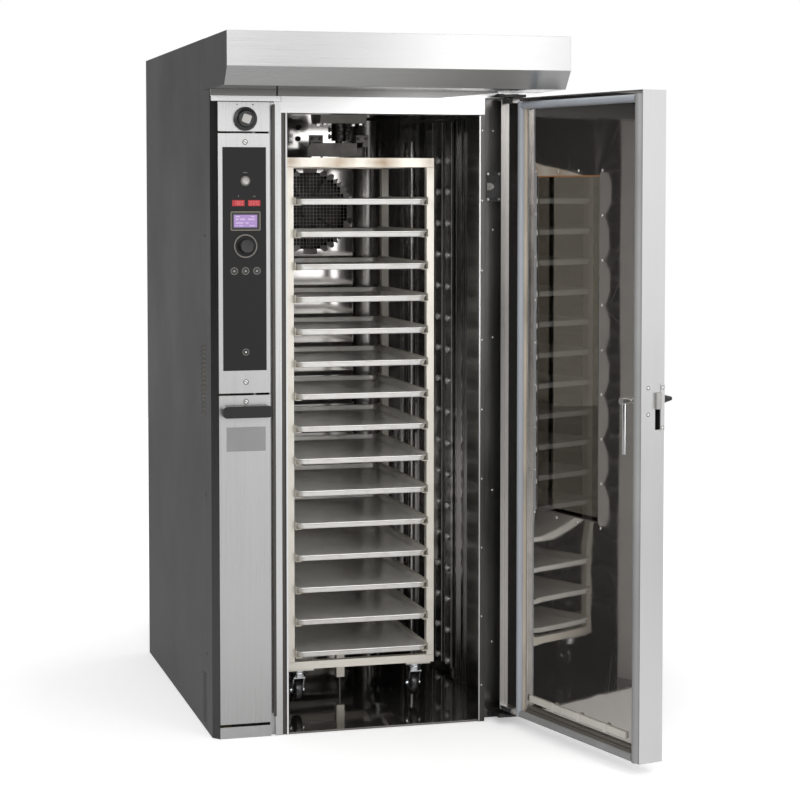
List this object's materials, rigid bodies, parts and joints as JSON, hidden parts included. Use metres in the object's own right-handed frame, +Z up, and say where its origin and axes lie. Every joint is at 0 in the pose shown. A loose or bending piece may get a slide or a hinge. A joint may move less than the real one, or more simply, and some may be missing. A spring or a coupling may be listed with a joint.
{
  "type": "rotating rack oven",
  "caption": "Tall cabinet oven with a side-hinged windowed door, front control column, hood and a turning, lifted rack trolley of trays on castors.",
  "frame": {"origin": "where the rack's turning axis meets the floor, on the underside of the floor plate", "axes": "+Z up, -Y out of the doorway, +X towards the door's hinge side"},
  "size_m": [1.2612, 2.1136, 2.26],
  "materials": {
    "dark_panel": "satin",
    "brushed_sheet": "brushed",
    "black_plastic": "matte",
    "black_glass": "gloss",
    "displays": "lit displays and metal rings",
    "mirror_sheet": "polished",
    "blanket": "mineral wool",
    "grey_steel": "satin",
    "machine_grey": "satin",
    "heater": "oxidised",
    "lamp_glass": "clear",
    "lamp": "ceramic and bulb",
    "dark_steel": "oiled",
    "brass_fitting": "satin",
    "bright_steel": "bright",
    "rack_tube": "satin, heat-tinted at the welds",
    "tray_sheet": "worn satin",
    "wheel_plastic": "gloss",
    "door_pane": "clear",
    "seal": "satin silicone",
    "handle_black": "black lacquer"
  },
  "bodies": {
    "cabinet": {"floor_plate": "mirror_sheet", "left_side_panels": "dark_panel", "right_side_panels": "dark_panel", "rear_panel": "dark_panel", "roof_panel": "brushed_sheet", "hood_shell": "brushed_sheet", "lintel": "brushed_sheet", "column_post": "brushed_sheet", "right_jamb": "brushed_sheet", "damper_panel": "brushed_sheet", "control_panel": "brushed_sheet", "service_panel": "brushed_sheet", "service_handle": "black_plastic", "control_glass": "black_glass", "display_set": "displays", "cavity_liner": "mirror_sheet", "cavity_rear_wall": "mirror_sheet", "insulation": "blanket", "cavity_air_ducts": "mirror_sheet", "fan_guard": "grey_steel", "fan_motor": "machine_grey", "heater_elements": "heater", "steam_pipe": "grey_steel", "lamp_cover": "lamp_glass", "oven_lamp": "lamp", "bearing_plate": "grey_steel", "rack_gearmotor": "machine_grey", "exhaust_spigot": "grey_steel", "hinge_brackets": "dark_steel", "rear_connections": "brass_fitting"},
    "fan": {"fan_impeller": "grey_steel"},
    "rack_drive": {"drive_shaft": "bright_steel"},
    "rack": {"carrier_yoke": "grey_steel", "rack_frame": "rack_tube", "rack_runners": "rack_tube", "trays": "tray_sheet"},
    "door": {"door_leaf": "brushed_sheet", "door_liner": "mirror_sheet", "door_insulation": "blanket", "door_glass": "door_pane", "door_gasket": "seal"},
    "latch": {"latch_tongue": "bright_steel"},
    "door_handle": {"outer_handle": "handle_black", "inner_release": "bright_steel"},
    "start": {"start_button": "bright_steel"},
    "menu_left": {"menu_button_left": "black_plastic"},
    "menu_middle": {"menu_button_middle": "black_plastic"},
    "menu_right": {"menu_button_right": "black_plastic"},
    "service": {"service_button": "black_plastic"},
    "encoder": {"encoder_knob": "black_plastic"},
    "damper_control": {"damper_knob": "black_plastic"},
    "flap": {"damper_flap": "grey_steel"},
    "fork_front_left": {"castor_fork_front_left": "bright_steel"},
    "wheel_front_left": {"castor_wheel_front_left": "wheel_plastic"},
    "fork_front_right": {"castor_fork_front_right": "bright_steel"},
    "wheel_front_right": {"castor_wheel_front_right": "wheel_plastic"},
    "fork_rear_left": {"castor_fork_rear_left": "bright_steel"},
    "wheel_rear_left": {"castor_wheel_rear_left": "wheel_plastic"},
    "fork_rear_right": {"castor_fork_rear_right": "bright_steel"},
    "wheel_rear_right": {"castor_wheel_rear_right": "wheel_plastic"}
  },
  "joints": [
    {"name": "door_swing", "type": "hinge", "parent": "cabinet", "child": "door", "pos_m": [0.4334, -0.5534, 1], "axis": [0, 0, 1], "range_deg": [-103.8, 46.2]},
    {"name": "handle_turn", "type": "hinge", "parent": "door", "child": "door_handle", "pos_m": [0.64286, -1.21081, 1.11], "axis": [0.9711, 0.2385, 0], "range_deg": [0, 75]},
    {"name": "latch_slide", "type": "slide", "parent": "door", "child": "latch", "axis": [0, 0, 1], "range_m": [-0.05, 0]},
    {"name": "rack_turn", "type": "hinge", "parent": "cabinet", "child": "rack_drive", "pos_m": [0, 0, 1.92], "axis": [0, 0, 1], "continuous": true},
    {"name": "rack_lift", "type": "slide", "parent": "rack_drive", "child": "rack", "axis": [0, 0, 1], "range_m": [-0.0237, 0]},
    {"name": "swivel_front_left", "type": "hinge", "parent": "rack", "child": "fork_front_left", "pos_m": [-0.2, -0.238, 0.12], "axis": [0, 0, 1], "continuous": true},
    {"name": "roll_front_left", "type": "hinge", "parent": "fork_front_left", "child": "wheel_front_left", "pos_m": [-0.2, -0.216, 0.07], "axis": [1, 0, 0], "continuous": true},
    {"name": "swivel_front_right", "type": "hinge", "parent": "rack", "child": "fork_front_right", "pos_m": [0.2, -0.238, 0.12], "axis": [0, 0, 1], "continuous": true},
    {"name": "roll_front_right", "type": "hinge", "parent": "fork_front_right", "child": "wheel_front_right", "pos_m": [0.2, -0.216, 0.07], "axis": [1, 0, 0], "continuous": true},
    {"name": "swivel_rear_left", "type": "hinge", "parent": "rack", "child": "fork_rear_left", "pos_m": [-0.2, 0.238, 0.12], "axis": [0, 0, 1], "continuous": true},
    {"name": "roll_rear_left", "type": "hinge", "parent": "fork_rear_left", "child": "wheel_rear_left", "pos_m": [-0.2, 0.26, 0.07], "axis": [1, 0, 0], "continuous": true},
    {"name": "swivel_rear_right", "type": "hinge", "parent": "rack", "child": "fork_rear_right", "pos_m": [0.2, 0.238, 0.12], "axis": [0, 0, 1], "continuous": true},
    {"name": "roll_rear_right", "type": "hinge", "parent": "fork_rear_right", "child": "wheel_rear_right", "pos_m": [0.2, 0.26, 0.07], "axis": [1, 0, 0], "continuous": true},
    {"name": "fan_spin", "type": "hinge", "parent": "cabinet", "child": "fan", "pos_m": [0, 0.5, 1.654], "axis": [0, 1, 0], "continuous": true},
    {"name": "start_press", "type": "slide", "parent": "cabinet", "child": "start", "axis": [0, 1, 0], "range_m": [0, 0.003], "stiffness_N_per_m": 600},
    {"name": "menu_left_press", "type": "slide", "parent": "cabinet", "child": "menu_left", "axis": [0, 1, 0], "range_m": [0, 0.0015], "stiffness_N_per_m": 900},
    {"name": "menu_middle_press", "type": "slide", "parent": "cabinet", "child": "menu_middle", "axis": [0, 1, 0], "range_m": [0, 0.0015], "stiffness_N_per_m": 900},
    {"name": "menu_right_press", "type": "slide", "parent": "cabinet", "child": "menu_right", "axis": [0, 1, 0], "range_m": [0, 0.0015], "stiffness_N_per_m": 900},
    {"name": "service_press", "type": "slide", "parent": "cabinet", "child": "service", "axis": [0, 1, 0], "range_m": [0, 0.0015], "stiffness_N_per_m": 900},
    {"name": "encoder_turn", "type": "hinge", "parent": "cabinet", "child": "encoder", "pos_m": [-0.428, -0.53, 1.554], "axis": [0, 1, 0], "continuous": true},
    {"name": "damper_turn", "type": "hinge", "parent": "cabinet", "child": "damper_control", "pos_m": [-0.428, -0.53, 1.95], "axis": [0, 1, 0], "range_deg": [0, 90]},
    {"name": "flap_turn", "type": "hinge", "parent": "cabinet", "child": "flap", "pos_m": [-0.25, 0.25, 2.117], "axis": [1, 0, 0], "range_deg": [0, 90]}
  ],
  "couplings": [
    {"joint": "latch_slide", "follows": "handle_turn", "m_per_rad": -0.03819},
    {"joint": "flap_turn", "follows": "damper_turn", "ratio": 1}
  ]
}
